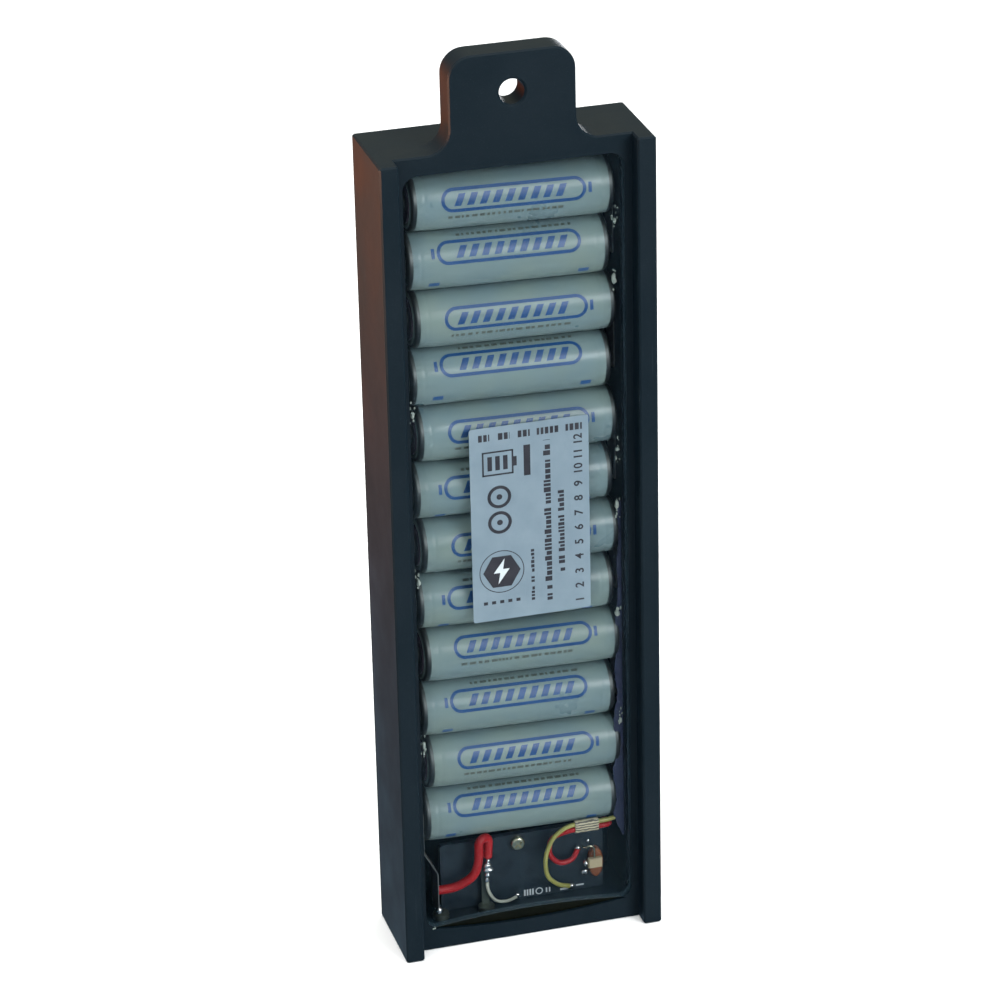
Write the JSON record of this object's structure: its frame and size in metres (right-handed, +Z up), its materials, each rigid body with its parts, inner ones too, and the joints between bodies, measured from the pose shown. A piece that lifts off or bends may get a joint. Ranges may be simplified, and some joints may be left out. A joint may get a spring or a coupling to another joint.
{
  "type": "battery pack",
  "caption": "Sealed slide-in battery pack: AA cells behind a clear window in a black plastic tray with side rails and a hanging tab.",
  "frame": {"origin": "under the middle of the pack's body, on its bottom end face", "axes": "+Z up along the pack towards the tab, -Y the side with the window and the rails, +Y the flat back, +X to the right seen from the window side"},
  "size_m": [0.065, 0.025, 0.228],
  "materials": {
    "housing_plastic": "milled black engineering plastic, satin",
    "window_plastic": "clear polycarbonate sheet, glossy",
    "sealant": "dark sealant, slightly rough",
    "label_film": "white printed film",
    "nickel_steel": "nickel-plated steel",
    "cell_sleeve_film": "pearl white shrink film",
    "insulator_card": "dark fish paper",
    "nickel_strip": "bare nickel strip",
    "red_insulation": "soft red silicone",
    "yellow_insulation": "yellow insulation",
    "pale_insulation": "pale grey insulation",
    "cream_sleeving": "cream shrink sleeving",
    "board_laminate": "dark solder mask on laminate",
    "bright_steel": "bright zinc-plated steel",
    "fuse_coating": "orange-brown dipped coating",
    "cream_ceramic": "unglazed cream ceramic",
    "contact_brass": "plated brass",
    "solder": "bright tin solder",
    "hot_glue": "milky glue"
  },
  "bodies": {
    "root": {"board_screw": "bright_steel", "board_standoff": "bright_steel", "cell_can_01": "nickel_steel", "cell_can_02": "nickel_steel", "cell_can_03": "nickel_steel", "cell_can_04": "nickel_steel", "cell_can_05": "nickel_steel", "cell_can_06": "nickel_steel", "cell_can_07": "nickel_steel", "cell_can_08": "nickel_steel", "cell_can_09": "nickel_steel", "cell_can_10": "nickel_steel", "cell_can_11": "nickel_steel", "cell_can_12": "nickel_steel", "cell_insulator_rings": "insulator_card", "cell_positive_caps": "nickel_steel", "cell_sleeve_01": "cell_sleeve_film", "cell_sleeve_02": "cell_sleeve_film", "cell_sleeve_03": "cell_sleeve_film", "cell_sleeve_04": "cell_sleeve_film", "cell_sleeve_05": "cell_sleeve_film", "cell_sleeve_06": "cell_sleeve_film", "cell_sleeve_07": "cell_sleeve_film", "cell_sleeve_08": "cell_sleeve_film", "cell_sleeve_09": "cell_sleeve_film", "cell_sleeve_10": "cell_sleeve_film", "cell_sleeve_11": "cell_sleeve_film", "cell_sleeve_12": "cell_sleeve_film", "ceramic_resistor": "cream_ceramic", "circuit_board": "board_laminate", "contact_collars": "contact_brass", "contact_studs": "contact_brass", "contact_tab": "contact_brass", "glue_blobs": "hot_glue", "ground_wire": "pale_insulation", "housing": "housing_plastic", "insulator_sheet": "insulator_card", "jumper_lead": "red_insulation", "link_strip_01": "nickel_strip", "link_strip_02": "nickel_strip", "link_strip_03": "nickel_strip", "link_strip_04": "nickel_strip", "link_strip_05": "nickel_strip", "link_strip_06": "nickel_strip", "link_strip_07": "nickel_strip", "link_strip_08": "nickel_strip", "link_strip_09": "nickel_strip", "link_strip_10": "nickel_strip", "link_strip_11": "nickel_strip", "negative_terminal_strip": "nickel_strip", "positive_lead": "red_insulation", "positive_terminal_tab": "nickel_strip", "rating_label": "label_film", "resettable_fuse": "fuse_coating", "resistor_lead": "bright_steel", "sense_wire": "yellow_insulation", "solder_joints": "solder", "window_pane": "window_plastic", "window_seal_bead": "sealant", "wire_sleeve": "cream_sleeving"}
  },
  "joints": []
}
